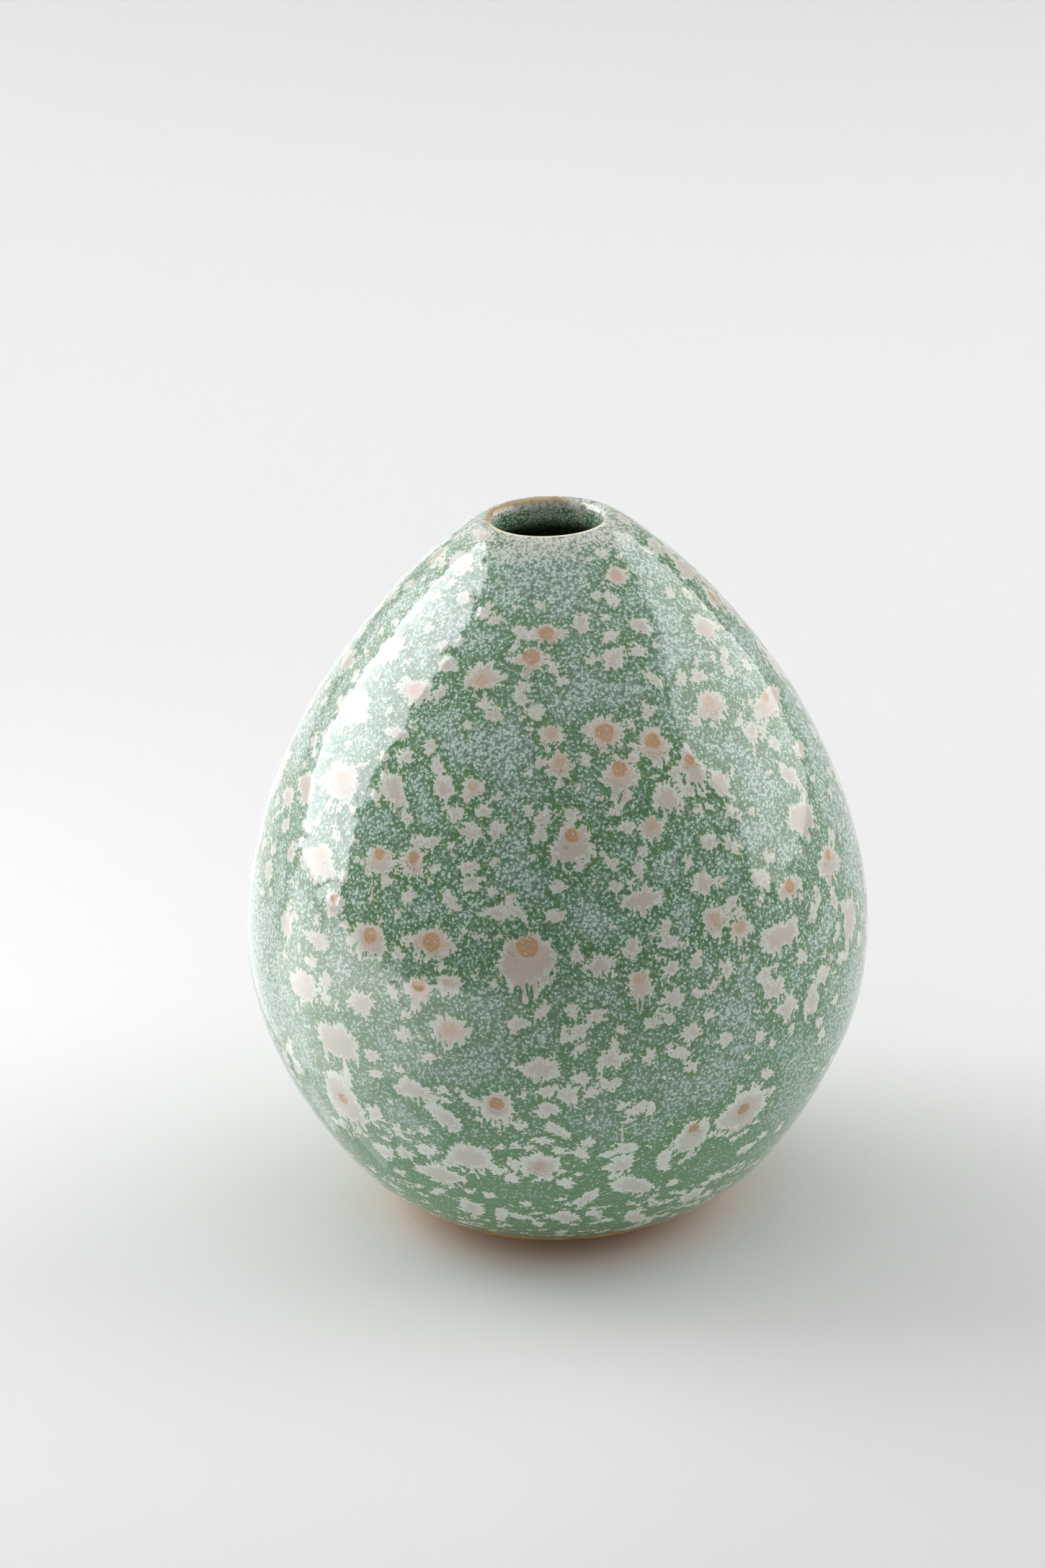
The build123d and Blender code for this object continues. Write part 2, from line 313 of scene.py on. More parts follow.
def grow_blossoms():
    """The listed crystals, then seeded ones over the rest of the pot at the same density and spread of sizes."""
    g = np.random.default_rng(77)
    made = []
    for phi, z, a, b, lean, core, up in BLOSSOMS:
        made.append([math.radians(phi), arc_of(min(z, 109.9)), a, b, lean, core, up])
    listed = len(made)

    def near(phi, s, items, pad, share):
        for q in items:
            d = (phi - q[0] + math.pi) % (2 * math.pi) - math.pi
            u = d * float(radius_at((s + q[1]) / 2))
            if math.hypot(u, s - q[1]) < pad + share * math.sqrt(q[2] * q[3]):
                return True
        return False

    top = wall_s[-1]
    # large and middling crystals on the side away from the listed ones
    tries = 0
    while tries < 2600:
        tries += 1
        s = g.uniform(4.0, top - 3.0)
        if g.uniform() > float(radius_at(s)) / 48.0:
            continue
        phi = g.uniform(math.radians(-8), math.radians(188))
        a = float(np.exp(g.normal(math.log(2.05), 0.36)))
        b = a * g.uniform(0.85, 1.2)
        if near(phi, s, made, 0.62 * a + 0.25, 0.62):
            continue
        core, up = 0.0, 0.0
        if a > 1.9 and g.uniform() < 0.62:
            core = g.uniform(0.8, 1.25) * (1 if g.uniform() < 0.6 else -1)
            up = g.uniform(0.1, 0.4) * b
        made.append([phi, s, a, b, g.normal(0, 0.15), core, up])
        if len(made) > listed + 235:
            break
    # small crystals everywhere between them
    small = 0
    for _ in range(14000):
        s = g.uniform(2.0, top - 2.0)
        if g.uniform() > float(radius_at(s)) / 48.0:
            continue
        phi = g.uniform(-math.pi, math.pi)
        a = g.uniform(0.55, 1.45)
        if near(phi, s, made, 0.55 * a + 0.1, 0.80):
            continue
        if not near(phi, s, made[:listed + 235], 3.0, 1.0) and g.uniform() < 0.88:
            continue
        made.append([phi, s, a, a * g.uniform(0.8, 1.3), g.normal(0, 0.25), 0.0, 0.0])
        small += 1
        if small > 900:
            break
    # the run-down band near the foot: low, wide dashes
    for _ in range(1800):
        s = g.uniform(0.9, 19.0)
        if g.uniform() > float(radius_at(s)) / 48.0:
            continue
        phi = g.uniform(-math.pi, math.pi)
        a = g.uniform(0.5, 1.35)
        if near(phi, s, made, 0.50 * a + 0.10, 0.70):
            continue
        made.append([phi, s, a, a * g.uniform(0.40, 0.75), g.normal(0, 0.3), 0.0, 0.0])
    return np.array(made), g


crystals, crystal_rng = grow_blossoms()


def crystal_fields(points, s, cols):
    """At each vertex: depth inside the nearest crystal (mm), how crowded its neighbourhood is, how low on its crystal."""
    ph = np.linspace(0, 2 * np.pi, cols, endpoint=False)[None, :]
    radius = points[:, 0][:, None]
    sv = s[:, None]
    depth = np.full((len(points), cols), -8.0)
    low = np.zeros((len(points), cols))
    which = np.zeros((len(points), cols), int)
    open_share = np.ones((len(points), cols))
    for n, (p0, s0, a, b, lean, core, up) in enumerate(crystals):
        g = np.random.default_rng(1000 + n)
        size = math.sqrt(a * b)
        rows = np.nonzero(np.abs(s - s0) < b + 8.5)[0]
        if not len(rows):
            continue
        i0, i1 = rows[0], rows[-1] + 1
        du = ((ph - p0 + np.pi) % (2 * np.pi) - np.pi) * radius[i0:i1]
        dv = sv[i0:i1] - s0 + 0 * du
        x = (du - lean * dv) / a
        y = dv / b
        x = x / (1.0 - 0.10 * np.clip(y, 0, 1.2) - 0.26 * soft(-y, 0.15, 0.95))
        rho = np.hypot(x, y)
        th = np.arctan2(y, x)
        lobes = np.ones_like(rho)
        for k in (2, 3, 4, 5, 7):
            lobes += g.normal(0, 0.045 if k < 6 else 0.03) * np.cos(k * th + g.uniform(0, 6.28))
        d = (1.0 - rho / lobes) * size
        cut = depth[i0:i1]
        better = d > cut
        low_here = np.clip(-y + 0.05, 0, 1.1) * size * np.clip((size - 1.0) / 1.0, 0, 1)
        low[i0:i1] = np.where(better, low_here, low[i0:i1])
        which[i0:i1] = np.where(better, n, which[i0:i1])
        depth[i0:i1] = np.maximum(cut, d)
        reach = 0.55 + 0.62 * size
        share = np.exp(-((np.clip(-d, 0, None) / reach) ** 2)) * min(1.0, 0.35 + 0.30 * size)
        open_share[i0:i1] *= 1.0 - np.clip(share, 0, 0.97)
    return depth, 1.0 - open_share, low, which


wall_depth, wall_crowd, wall_low, wall_which = crystal_fields(wall_p, wall_s, COLS)
lip_depth, lip_crowd, lip_low, lip_which = crystal_fields(lip_p, lip_s, COLS)


# ---------------------------------------------------------------- outer coat
top_fade = np.clip((wall_s[-1] - wall_s) / 3.0, 0, 1)[:, None]
foot_s = wall_s[:, None]
phi_cols = np.linspace(0, 2 * np.pi, COLS, endpoint=False)[None, :]


relief = 0.050 * soft(wall_depth, -0.25, 0.55) - 0.020 * wall_crowd
for p0, s0, a, b, lean, core, up in crystals:
    if core == 0:
        continue
    rows = np.abs(wall_s - (s0 + up)) < 3
    du = ((phi_cols - p0 + np.pi) % (2 * np.pi) - np.pi) * wall_p[rows, 0][:, None]
    d = np.hypot(du, wall_s[rows][:, None] - s0 - up)
    relief[rows] -= (0.055 if core > 0 else 0.025) * (1 - soft(d, 0.3 * abs(core), 1.15 * abs(core)))
# the edge of the coat near the foot is a rounded, slightly uneven roll
drips = 0.5 * np.cos(7 * phi_cols + 1.0) + 0.6 * np.cos(11 * phi_cols + 2.2) + 0.5 * np.cos(19 * phi_cols + 0.4) + 0.35 * np.cos(31 * phi_cols)
roll = 0.16 * np.exp(-(((foot_s - 1.5) / 1.1) ** 2)) * (1 + 0.35 * drips) - 0.34 * np.clip(1 - foot_s / 0.9, 0, 1) ** 2
outer_grid = lifted(wall_p, wall_n, COLS, relief * top_fade + roll)
slide = 0.22 * drips * np.exp(-((foot_s / 1.8) ** 2))
outer_grid += slide[..., None] * np.stack([
    wall_t[:, 0][:, None] * np.cos(phi_cols), wall_t[:, 0][:, None] * np.sin(phi_cols), wall_t[:, 1][:, None] + 0 * phi_cols,
], axis=-1)

inner_ring = ring(wall_clay[::-1], COLS)[0]
outer, outer_start = shell(
    "reactive_glaze_coat", list(outer_grid) + list(inner_ring), COLS,
    creases=(0, WALL_ROWS - 1, WALL_ROWS, WALL_ROWS + len(inner_ring) - 1),
)


def vertex_field(obj, name, rows_values, cols, fallback):
    """rows_values: list of arrays of length cols, one per ring from the first; the other vertices get fallback."""
    mesh = obj.data
    v = np.full(len(mesh.vertices), fallback, np.float32)
    flat = np.concatenate([np.asarray(r, np.float32) for r in rows_values])
    v[:len(flat)] = flat
    mesh.attributes.new(name, "FLOAT", "POINT").data.foreach_set("value", v)


def seed_field(obj, s, radius, cols):
    """Per face corner: (across, along, radius) from the nearest amber seed, so that the shader draws exact discs."""
    mesh = obj.data
    rows = len(s)
    seeds = crystals[crystals[:, 5] != 0]
    loops = np.zeros(len(mesh.loops), np.int32)
    mesh.loops.foreach_get("vertex_index", loops)
    first = np.zeros(len(mesh.polygons), np.int32)
    count = np.zeros(len(mesh.polygons), np.int32)
    mesh.polygons.foreach_get("loop_start", first)
    mesh.polygons.foreach_get("loop_total", count)
    out = np.tile(np.array([50.0, 50.0, 1.0], np.float32), (len(mesh.loops), 1))
    pick = (count == 4)
    corner = first[pick][:, None] + np.arange(4)
    vert = loops[corner]
    ok = (vert < rows * cols).all(axis=1)
    corner, vert = corner[ok], vert[ok]
    vr, vc = vert // cols, vert % cols
    vs, vrad = s[vr], radius[vr]
    vphi = vc * (2 * np.pi / cols)
    cs = vs.mean(axis=1)
    cphi = vphi[:, 0] + np.pi / cols
    best = np.full(len(cs), 1e9)
    for p0, s0, a, b, lean, core, up in seeds:
        sc = s0 + up
        near_rows = np.abs(cs - sc) < 4.0
        if not near_rows.any():
            continue
        idx = np.nonzero(near_rows)[0]
        du = ((cphi[idx] - p0 + np.pi) % (2 * np.pi) - np.pi) * vrad[idx, 0]
        idx = idx[np.abs(du) < 4.0]
        du = ((cphi[idx] - p0 + np.pi) % (2 * np.pi) - np.pi) * vrad[idx, 0]
        d = np.hypot(du, cs[idx] - sc)
        take = idx[d < best[idx]]
        best[idx] = np.minimum(best[idx], d)
        u = ((vphi[take] - p0 + np.pi) % (2 * np.pi) - np.pi) * vrad[take]
        v = vs[take] - sc
        out[corner[take].ravel()] = np.stack([u, v, np.full_like(u, core)], axis=-1).reshape(-1, 3)
    at = mesh.attributes.new("seed", "FLOAT_VECTOR", "CORNER")
    at.data.foreach_set("vector", out.ravel())


def spoke_field(obj, s, radius, cols, which):
    """Per face corner: (across, along, size) from the middle of the crystal that the face belongs to."""
    mesh = obj.data
    rows = len(s)
    loops = np.zeros(len(mesh.loops), np.int32)
    mesh.loops.foreach_get("vertex_index", loops)
    first = np.zeros(len(mesh.polygons), np.int32)
    count = np.zeros(len(mesh.polygons), np.int32)
    mesh.polygons.foreach_get("loop_start", first)
    mesh.polygons.foreach_get("loop_total", count)
    out = np.tile(np.array([9.0, 0.0, 1.0], np.float32), (len(mesh.loops), 1))
    corner = first[count == 4][:, None] + np.arange(4)
    vert = loops[corner]
    ok = (vert < rows * cols).all(axis=1)
    corner, vert = corner[ok], vert[ok]
    vr, vc = vert // cols, vert % cols
    own = crystals[which[vr[:, 0], vc[:, 0]]]
    u = ((vc * (2 * np.pi / cols) - own[:, 0][:, None] + np.pi) % (2 * np.pi) - np.pi) * radius[vr]
    v = s[vr] - own[:, 1][:, None]
    size = np.sqrt(own[:, 2] * own[:, 3])[:, None] + 0 * u
    out[corner.ravel()] = np.stack([u, v, size], axis=-1).reshape(-1, 3)
    at = mesh.attributes.new("spoke", "FLOAT_VECTOR", "CORNER")
    at.data.foreach_set("vector", out.ravel())


vertex_field(outer, "depth", list(wall_depth), COLS, -8.0)
vertex_field(outer, "crowd", list(wall_crowd), COLS, 0.0)
vertex_field(outer, "low", list(wall_low), COLS, 0.0)
vertex_field(outer, "rim", [np.full(COLS, max(x - wall_s[-1], -6.0)) for x in wall_s], COLS, -6.0)
seed_field(outer, wall_s, wall_p[:, 0], COLS)
spoke_field(outer, wall_s, wall_p[:, 0], COLS, wall_which)

# ---------------------------------------------------------------- lip coat
lip_grid = lifted(lip_p, lip_n, COLS)
lip_inner = ring(lip_clay[::-1], COLS)[0]
lip, _ = shell(
    "lip_glaze_coat", list(lip_grid) + list(lip_inner), COLS,
    creases=(0, LIP_ROWS - 1, LIP_ROWS, LIP_ROWS + len(lip_inner) - 1),
)
vertex_field(lip, "depth", list(lip_depth), COLS, -8.0)
vertex_field(lip, "crowd", list(lip_crowd), COLS, 0.0)
vertex_field(lip, "low", list(lip_low), COLS, 0.0)
vertex_field(lip, "rim", [np.full(COLS, x - wall_s[-1]) for x in lip_s], COLS, 0.0)
seed_field(lip, lip_s, lip_p[:, 0], COLS)
spoke_field(lip, lip_s, lip_p[:, 0], COLS, lip_which)

# ---------------------------------------------------------------- liner coat
LINER_COLS = 180
liner_fade = np.zeros((len(liner_p), LINER_COLS))
liner_fade += (0.02 * wave_sum(GLAZE_SKIN, ring(liner_p, LINER_COLS)[0])) * soft(np.arange(len(liner_p)), 0, 10)[:, None]
liner_grid = lifted(liner_p, liner_n, LINER_COLS, liner_fade)
liner_rows = list(liner_grid[:-1]) + [np.array([0.0, 0.0, 6.0])]
liner_back = ring(liner_clay[::-1], LINER_COLS)[0]
liner_rows += [np.array([0.0, 0.0, 6.0 - LINER_T])] + list(liner_back[1:])
liner, _ = shell(
    "liner_glaze_coat", liner_rows, LINER_COLS, creases=(0, len(liner_rows) - 1),
)
down = np.concatenate([[0.0], np.cumsum(np.hypot(*np.diff(liner_p, axis=0).T))])
vertex_field(liner, "rim", [np.full(LINER_COLS, x + lip_s[-1] - wall_s[-1]) for x in down[:-1]], LINER_COLS, 100.0)

# ---------------------------------------------------------------- clay body
CLAY_COLS = 240


def foot_section():
    """The turned base from the axis out to the glaze line, with softened corners on the foot ring."""
    q = [(r, 1.70 - 0.40 * (r / 13.6) ** 2) for r in np.linspace(0.6, 13.2, 24)]
    q += [(13.55, 1.20), (13.82, 0.98), (14.10, 0.60), (14.30, 0.26), (14.50, 0.07), (14.80, 0.0)]
    q += [(r, 0.0) for r in np.linspace(15.3, 17.4, 6)]
    q += [(17.75, 0.02), (18.02, 0.09), (18.22, 0.22), (18.42, 0.42)]
    end = wall_clay[0]
    for t in np.linspace(0.06, 1, 22):
        q.append((18.42 + (end[0] - 18.42) * t, 0.42 + (end[1] - 0.42) * t))
    return np.array(q)


foot_p = foot_section()
foot_tan = np.gradient(foot_p, axis=0)
foot_tan /= np.linalg.norm(foot_tan, axis=1)[:, None]
foot_n = face_normals(foot_tan)
foot_arc = np.concatenate([[0.0], np.cumsum(np.hypot(*np.diff(foot_p, axis=0).T))])
grooves = np.where(
    (foot_p[:, 0] < 13.0) | ((foot_p[:, 0] > 18.8) & (foot_p[:, 0] < 23.9)),
    0.045 * np.cos(foot_arc * 2 * np.pi / 1.35) + 0.02 * np.cos(foot_arc * 2 * np.pi / 0.9 + 1), 0.0,
)
foot_xyz, foot_phi = ring(foot_p, CLAY_COLS)
foot_off = grooves[:, None] * (1 + 0.25 * np.cos(foot_phi * 2 + 0.7)[None, :])
foot_grid = foot_xyz + foot_off[..., None] * np.stack([
    foot_n[:, 0][:, None] * np.cos(foot_phi), foot_n[:, 0][:, None] * np.sin(foot_phi), foot_n[:, 1][:, None] + 0 * foot_phi,
], axis=-1)
foot_grid[..., 2] = np.maximum(foot_grid[..., 2], 0.0)
clay_rows = [np.array([0.0, 0.0, 1.70])] + list(foot_grid)
clay_rows += list(ring(wall_clay[1:], CLAY_COLS)[0]) + list(ring(lip_clay[1:], CLAY_COLS)[0])
clay_rows += list(ring(liner_clay[1:-1], CLAY_COLS)[0]) + [np.array([0.0, 0.0, 6.0 - LINER_T])]
clay, _ = shell("clay_shell", clay_rows, CLAY_COLS, closed=False, creases=(len(foot_grid),))

# ---------------------------------------------------------------- materials
def rgb(r, g, b):
    def lin(c):
        c /= 255.0
        return c / 12.92 if c <= 0.04045 else ((c + 0.055) / 1.055) ** 2.4
    return (lin(r), lin(g), lin(b), 1.0)


class Net:
    """A short way to write shader nodes."""

    def __init__(self, name):
        self.mat = bpy.data.materials.new(name)
        self.mat.use_nodes = True
        self.tree = self.mat.node_tree
        self.tree.nodes.clear()
        out = self.tree.nodes.new("ShaderNodeOutputMaterial")
        self.bsdf = self.tree.nodes.new("ShaderNodeBsdfPrincipled")
        self.tree.links.new(self.bsdf.outputs["BSDF"], out.inputs["Surface"])

    def put(self, socket, value):
        if isinstance(value, bpy.types.NodeSocket):
            self.tree.links.new(value, socket)
        else:
            socket.default_value = value

    def node(self, kind, **props):
        n = self.tree.nodes.new(kind)
        for k, v in props.items():
            setattr(n, k, v)
        return n

    def m(self, op, a, b=None, c=None, clamp=False):
        n = self.node("ShaderNodeMath", operation=op, use_clamp=clamp)
        for i, v in enumerate((a, b, c)):
            if v is not None:
                self.put(n.inputs[i], v)
        return n.outputs[0]

    def add(self, *terms):
        total = terms[0]
        for t in terms[1:]:
            total = self.m("ADD", total, t)
        return total

    def mul(self, *terms):
        total = terms[0]
        for t in terms[1:]:
            total = self.m("MULTIPLY", total, t)
        return total

    def centred(self, x, gain):
        """(x - 0.5) * gain"""
        return self.m("MULTIPLY_ADD", x, gain, -0.5 * gain)

    def v(self, op, a, b=None):
        n = self.node("ShaderNodeVectorMath", operation=op)
        self.put(n.inputs[0], a)
        if b is not None:
            self.put(n.inputs[1], b)
        return n.outputs["Value"] if op in ("LENGTH", "DISTANCE", "DOT_PRODUCT") else n.outputs[0]

    def scaled(self, a, k):
        n = self.node("ShaderNodeVectorMath", operation="SCALE")
        self.put(n.inputs[0], a)
        n.inputs["Scale"].default_value = k
        return n.outputs[0]

    def step(self, x, lo, hi, a=0.0, b=1.0):
        """Smooth step of x between lo and hi, from a to b."""
        n = self.node("ShaderNodeMapRange", interpolation_type="SMOOTHSTEP")
        for i, val in enumerate((x, lo, hi, a, b)):
            self.put(n.inputs[i], val)
        return n.outputs[0]

    def ramp(self, x, lo, hi, a=0.0, b=1.0):
        n = self.node("ShaderNodeMapRange", interpolation_type="LINEAR", clamp=True)
        for i, val in enumerate((x, lo, hi, a, b)):
            self.put(n.inputs[i], val)
        return n.outputs[0]

    def mix(self, f, a, b, blend="MIX"):
        n = self.node("ShaderNodeMix", data_type="RGBA", blend_type=blend, clamp_factor=True)
        self.put(n.inputs[0], f)
        self.put(n.inputs[6], a)
        self.put(n.inputs[7], b)
        return n.outputs[2]

    def noise(self, vec, scale, detail=2.0, rough=0.5, colour=False):
        n = self.node("ShaderNodeTexNoise", noise_dimensions="3D")
        self.put(n.inputs["Vector"], vec)
        n.inputs["Scale"].default_value = scale
        n.inputs["Detail"].default_value = detail
        n.inputs["Roughness"].default_value = rough
        return n.outputs["Color" if colour else "Fac"]

    def cells(self, vec, scale, feature="F1", randomness=1.0):
        n = self.node("ShaderNodeTexVoronoi", voronoi_dimensions="3D", feature=feature)
        self.put(n.inputs["Vector"], vec)
        n.inputs["Scale"].default_value = scale
        n.inputs["Randomness"].default_value = randomness
        return n

    def attr(self, name, output="Fac"):
        return self.node("ShaderNodeAttribute", attribute_name=name, attribute_type="GEOMETRY").outputs[output]

    def xyz(self, vec):
        n = self.node("ShaderNodeSeparateXYZ")
        self.put(n.inputs[0], vec)
        return n.outputs

    def place(self):
        """Position in the object, in millimetres."""
        return self.scaled(self.node("ShaderNodeTexCoord").outputs["Object"], 1000.0)

    def bump(self, height, depth_mm, strength=1.0, normal=None):
        n = self.node("ShaderNodeBump")
        n.inputs["Strength"].default_value = strength
        n.inputs["Distance"].default_value = depth_mm * MM
        self.put(n.inputs["Height"], height)
        if normal is not None:
            self.put(n.inputs["Normal"], normal)
        return n.outputs[0]


def lip_tint_and_highlight(k, p, colour, rim, small, mid):
    """The coat thins over the lip: a tan band at the left and back, a thin cream line in front that is partly the pale
    thin coat and partly a painted highlight, covered at the right.
    """
    x, y, z = k.xyz(p)
    r = k.m("SQRT", k.m("ADD", k.m("MULTIPLY", x, x), k.m("MULTIPLY", y, y)))
    side = k.m("DIVIDE", k.m("MULTIPLY_ADD", x, -0.62, k.m("MULTIPLY", y, 0.78)), r)
    east = k.m("DIVIDE", k.m("MULTIPLY_ADD", x, 0.92, k.m("MULTIPLY", y, 0.38)), r)
    bare = k.step(k.add(east, k.centred(mid, 0.5)), 0.86, 0.55)
    at = k.add(rim, k.centred(small, 0.7), k.centred(mid, 0.5))
    start = k.ramp(side, -0.2, 0.7, 1.95, 2.25)
    stop = k.ramp(side, -0.2, 0.8, 4.3, 3.35)
    band = k.m("MULTIPLY", k.step(k.m("SUBTRACT", at, start), -0.20, 0.25), k.step(k.m("SUBTRACT", at, stop), 0.25, -0.20))
    # the cream line in front is partly the thin coat's own pale colour and partly a painted highlight
    cream = k.mix(k.step(small, 0.35, 0.65), rgb(244, 236, 206), rgb(230, 222, 188))
    tan = k.mix(k.step(mid, 0.35, 0.65), rgb(180, 152, 114), rgb(158, 130, 94))
    tint = k.mix(k.step(side, -0.05, 0.65), cream, tan)
    return k.mix(k.mul(band, bare, 0.92), colour, tint)


def reactive_glaze():
    """Green glass full of small pale crystals, opening into large pale blossoms with amber seeds."""
    k = Net("reactive_crystal_glaze")
    p = k.place()
    x, y, z = k.xyz(p)
    depth, crowd, low, rim = k.attr("depth"), k.attr("crowd"), k.attr("low"), k.attr("rim")

    # near the foot the crystals flatten: height is stretched before the cells are cut
    base = k.step(z, 4.0, 32.0, 1.0, 0.0)
    comb = k.node("ShaderNodeCombineXYZ")
    k.put(comb.inputs[0], x)
    k.put(comb.inputs[1], y)
    k.put(comb.inputs[2], k.m("MULTIPLY_ADD", k.m("POWER", k.ramp(z, 2.0, 24.0, 1.0, 0.0), 2.0), -12.0, z))
    flat = comb.outputs[0]
    warp = k.v("ADD", flat, k.scaled(k.v("SUBTRACT", k.noise(p, 1.05, 2.0, colour=True), (0.5, 0.5, 0.5)), 1.25))

    fine = k.cells(warp, CELL)
    fine_edge = k.cells(warp, CELL, "DISTANCE_TO_EDGE").outputs["Distance"]
    fine_rand = k.xyz(fine.outputs["Color"])
    lobe = k.xyz(k.cells(warp, 1.35).outputs["Color"])[0]

    n_mid = k.noise(p, 0.60, 3.0, 0.55)
    n_small = k.noise(p, 2.1, 2.0, 0.5)
    n_zone = k.noise(p, 0.20, 2.0, 0.5)
    n_broad = k.noise(p, 0.07, 2.0, 0.5)
    long = k.node("ShaderNodeCombineXYZ")
    k.put(long.inputs[0], x)
    k.put(long.inputs[1], y)
    k.put(long.inputs[2], k.m("MULTIPLY", z, 0.17))
    fingers = k.step(k.noise(long.outputs[0], 1.35, 2.0, 0.5), 0.47, 0.57)

    grain = k.add(
        k.m("MULTIPLY_ADD", fine.outputs["Distance"], -1.00, 0.42), k.centred(k.noise(flat, 2.1, 1.0), 1.15),
        k.m("MULTIPLY", k.m("MINIMUM", fine_edge, 0.2), 0.75), k.centred(fine_rand[1], 0.16),
    )

    # ---- large crystals: depth inside, with rays out from the middle and run-down fingers below
    spoke = k.xyz(k.attr("spoke", "Vector"))
    out_by = k.m("SQRT", k.add(k.mul(spoke[0], spoke[0]), k.mul(spoke[1], spoke[1]), 0.0001))
    ray = k.node("ShaderNodeCombineXYZ")
    k.put(ray.inputs[0], k.m("DIVIDE", k.mul(spoke[0], spoke[2]), out_by))
    k.put(ray.inputs[1], k.m("DIVIDE", k.mul(spoke[1], spoke[2]), out_by))
    k.put(ray.inputs[2], k.m("MULTIPLY_ADD", spoke[2], 37.0, k.m("MULTIPLY", out_by, 0.22)))
    rays = k.noise(ray.outputs[0], 1.25, 2.0, 0.6)
    inside = k.add(
        depth, k.centred(n_mid, 1.5), k.centred(lobe, 0.35), k.centred(n_small, 0.9),
        k.mul(k.centred(rays, 3.0), k.ramp(spoke[2], 0.6, 2.2, 0.45, 1.0)),
        k.mul(fingers, low, -1.05), k.m("MULTIPLY", grain, 0.60), -0.17,
    )
    petal = k.step(inside, -0.17, 0.16)
    fringe = k.m("MULTIPLY", k.step(inside, -0.6, -0.10), k.m("SUBTRACT", 1.0, petal))

    # ---- small crystals: soft grains that crowd together away from the blossoms
    busy = k.add(crowd, k.centred(n_zone, 0.45), k.centred(n_mid, 0.40), k.m("MULTIPLY", base, 1.10), -0.10)
    busy = k.m("MINIMUM", k.m("MAXIMUM", busy, 0.0), 1.1)
    # a paler, drier collar just below the lip
    collar = k.step(k.add(rim, k.centred(n_mid, 5.0)), -4.2, -0.8)
    level = k.add(grain, k.ramp(busy, 0.0, 1.0, 0.07, -0.15), k.m("MULTIPLY", base, -0.08), k.m("MULTIPLY", collar, 0.15))
    hazy = k.step(level, -0.42, 0.10)
    fleck = k.step(level, 0.0, 0.34)

    # ---- colours
    ground = k.mix(k.ramp(busy, 0.0, 0.9), rgb(98, 124, 104), rgb(80, 112, 75))
    ground = k.mix(k.m("MULTIPLY", k.step(n_mid, 0.40, 0.66), 0.5), ground, rgb(88, 130, 74))
    floorward = k.step(z, 62.0, 18.0)
    ground = k.mix(k.m("MULTIPLY", floorward, 0.75), ground, rgb(106, 158, 104))
    ground = k.mix(k.m("MULTIPLY", fringe, 0.85), ground, rgb(120, 142, 82))
    haze = k.mix(k.ramp(busy, 0.0, 1.0), rgb(136, 160, 147), rgb(108, 144, 116))
    pale = k.mix(k.ramp(busy, 0.1, 0.9), rgb(186, 206, 196), rgb(182, 204, 188))
    pale = k.mix(k.ramp(fine_rand[2], 0.0, 1.0, 0.0, 0.5), pale, rgb(204, 216, 208))
    pale = k.mix(k.m("MULTIPLY", k.step(n_broad, 0.48, 0.62), 0.4), pale, rgb(184, 198, 198))
    # painted highlights: tiny near-white glints at the middle of some grains
    painted_glint = k.m("MULTIPLY", k.step(fine.outputs["Distance"], 0.24, 0.08), k.step(fine_rand[1], 0.58, 0.70))
    pale = k.mix(k.m("MULTIPLY", painted_glint, k.ramp(busy, 0.2, 0.8, 0.10, 0.7)), pale, rgb(236, 240, 212))
    pale = k.mix(k.m("MULTIPLY", collar, 0.7), pale, rgb(206, 201, 192))
    haze = k.mix(k.m("MULTIPLY", collar, 0.6), haze, rgb(164, 170, 156))
    colour = k.mix(hazy, ground, haze)
    colour = k.mix(fleck, colour, pale)

    flesh = k.mix(k.step(n_small, 0.35, 0.7), rgb(206, 209, 200), rgb(196, 201, 191))
    flesh = k.mix(k.m("MULTIPLY", k.step(inside, 0.35, 1.35), 0.85), flesh, rgb(184, 172, 160))
    flesh = k.mix(k.m("MULTIPLY", k.step(n_mid, 0.50, 0.62), 0.30), flesh, rgb(176, 172, 160))
    flesh = k.mix(k.m("MULTIPLY", floorward, k.step(inside, 1.8, 0.6, 0.45, 0.90)), flesh, rgb(226, 233, 222))
    pits = k.cells(warp, 0.85)
    pit = k.m("MULTIPLY", k.step(pits.outputs["Distance"], 0.13, 0.07), k.step(k.xyz(pits.outputs["Color"])[0], 0.62, 0.66))
    pit = k.m("MULTIPLY", pit, k.ramp(low, 0.0, 2.0, 0.25, 1.0))
    flesh = k.mix(k.m("MULTIPLY", pit, 0.75), flesh, rgb(128, 122, 78))
    colour = k.mix(petal, colour, flesh)

